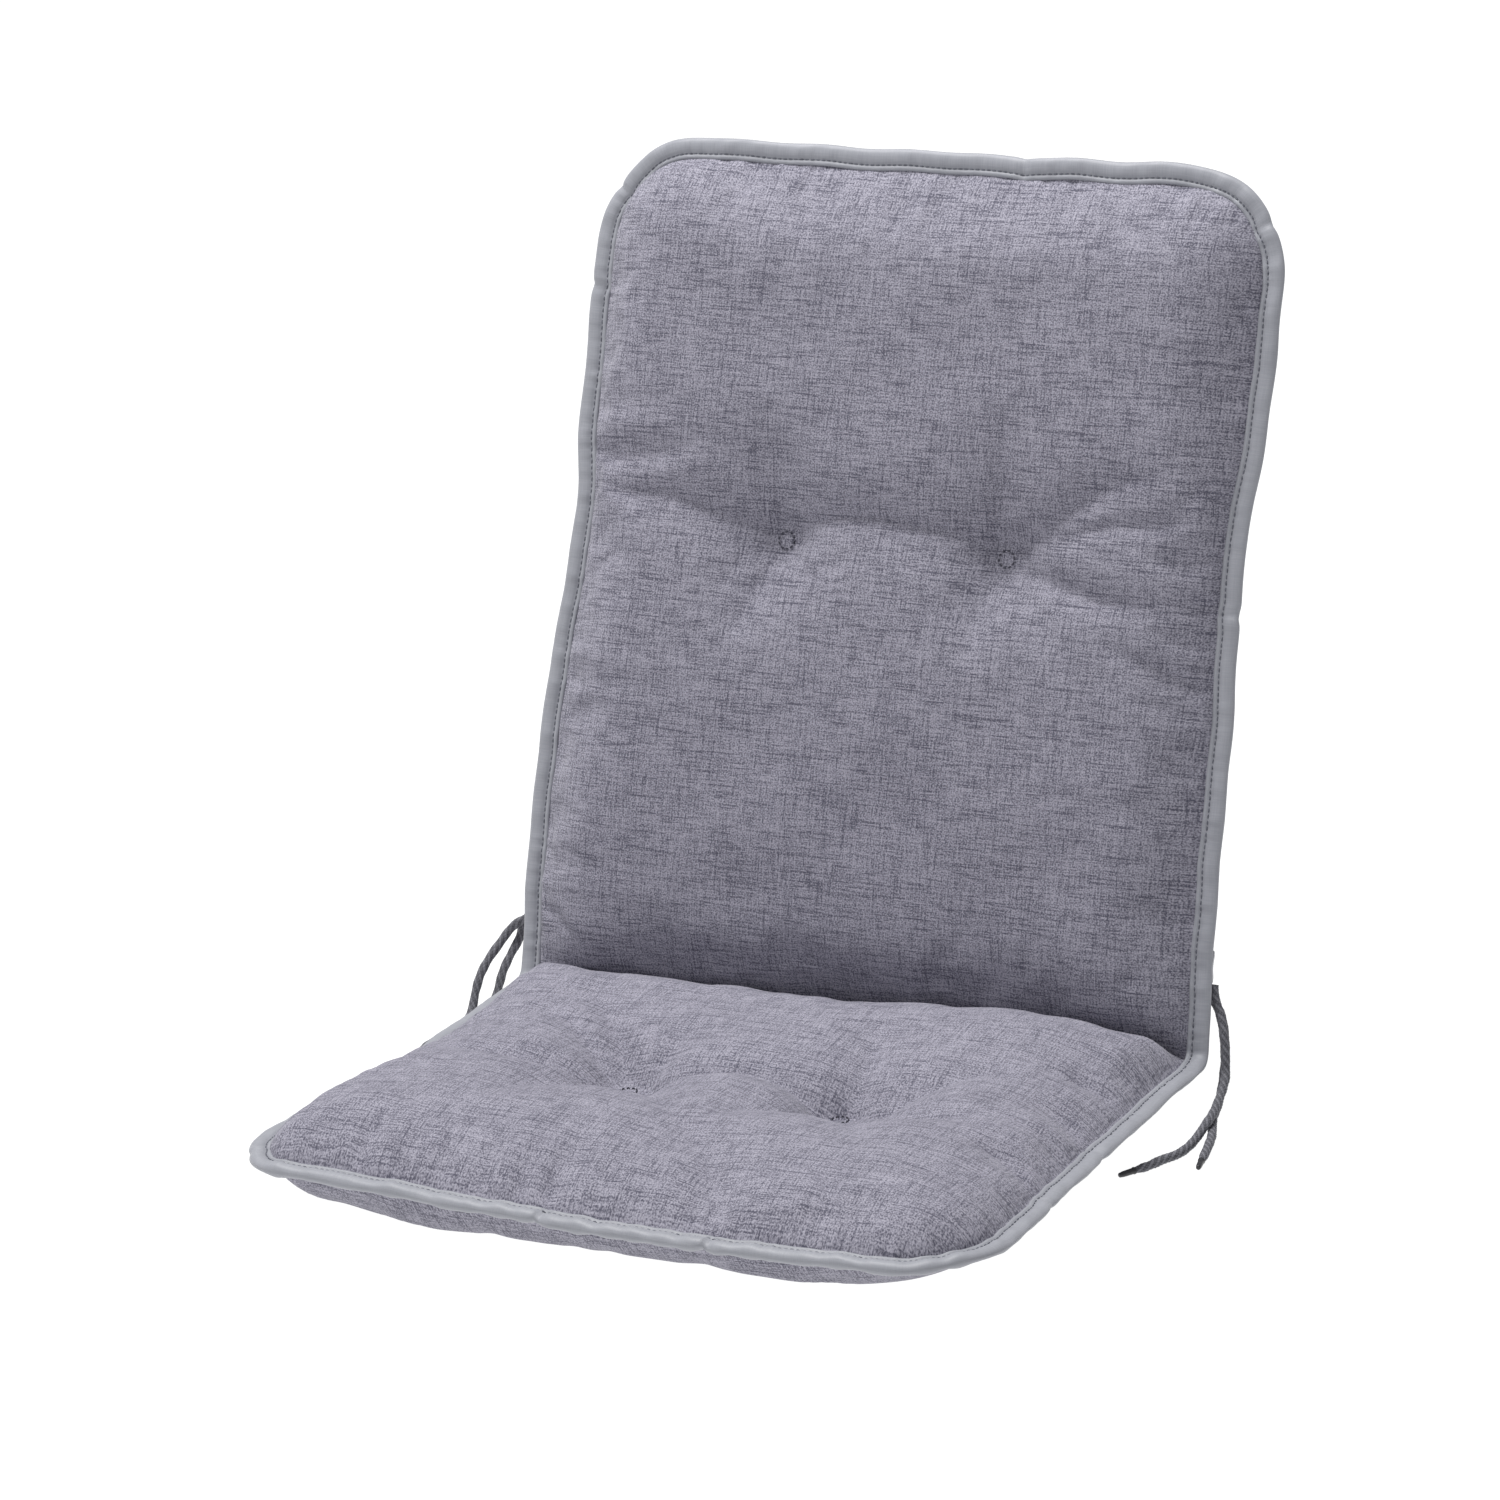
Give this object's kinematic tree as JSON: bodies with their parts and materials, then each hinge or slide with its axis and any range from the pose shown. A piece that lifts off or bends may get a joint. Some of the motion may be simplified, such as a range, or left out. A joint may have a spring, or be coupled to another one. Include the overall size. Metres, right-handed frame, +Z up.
{
  "type": "garden chair cushion",
  "caption": "Garden chair cushion in one length, a seat pad and a high back pad joined by a sewn fold, with a bound edge, sewn tufts and tie cords.",
  "frame": {"origin": "the middle of the seat pad's flat underside, on the surface that it rests on", "axes": "+Z is up, the seat's front edge faces -Y, the back rises at +Y and leans 16.6 degrees towards +Y, and +X is on the right of someone who faces the cushion from the front"},
  "size_m": [0.5766, 0.5812, 0.5884],
  "materials": {
    "cover_fabric": "heather grey-violet plain weave with fine slubs",
    "filling": "white polyester fibre wadding",
    "binding_tape": "smooth pale blue-grey satin tape",
    "thread": "dark grey sewing thread",
    "tie_braid": "braided cord, dark and light grey yarns",
    "aglet_plastic": "dark shrunk plastic tip"
  },
  "bodies": {
    "seat": {"seat_top_cover": "cover_fabric", "seat_bottom_cover": "cover_fabric", "seat_filling": "filling", "seat_binding": "binding_tape", "seat_binding_stitch": "thread", "seat_tuft_stitch_left": "thread", "seat_tuft_stitch_right": "thread", "fold_seam_stitch": "thread", "tie_cord_right_front": "tie_braid", "tie_cord_right_rear": "tie_braid", "tie_cord_left_front": "tie_braid", "tie_cord_left_rear": "tie_braid", "aglet_right_front": "aglet_plastic", "aglet_right_rear": "aglet_plastic", "aglet_left_front": "aglet_plastic", "aglet_left_rear": "aglet_plastic"},
    "back": {"back_front_cover": "cover_fabric", "back_rear_cover": "cover_fabric", "back_filling": "filling", "back_binding": "binding_tape", "back_binding_stitch": "thread", "back_tuft_stitch_left": "thread", "back_tuft_stitch_right": "thread", "tie_anchor_left": "binding_tape", "tie_anchor_right": "binding_tape"}
  },
  "joints": [
    {"name": "back_fold", "type": "hinge", "parent": "seat", "child": "back", "pos_m": [0, 0.2, 0.03], "axis": [1, 0, 0], "range_deg": [-73, 60], "deforming": ["seat_top_cover", "seat_filling", "back_front_cover", "back_filling", "tie_cord_right_front", "tie_cord_right_rear", "tie_cord_left_front", "tie_cord_left_rear"]}
  ]
}
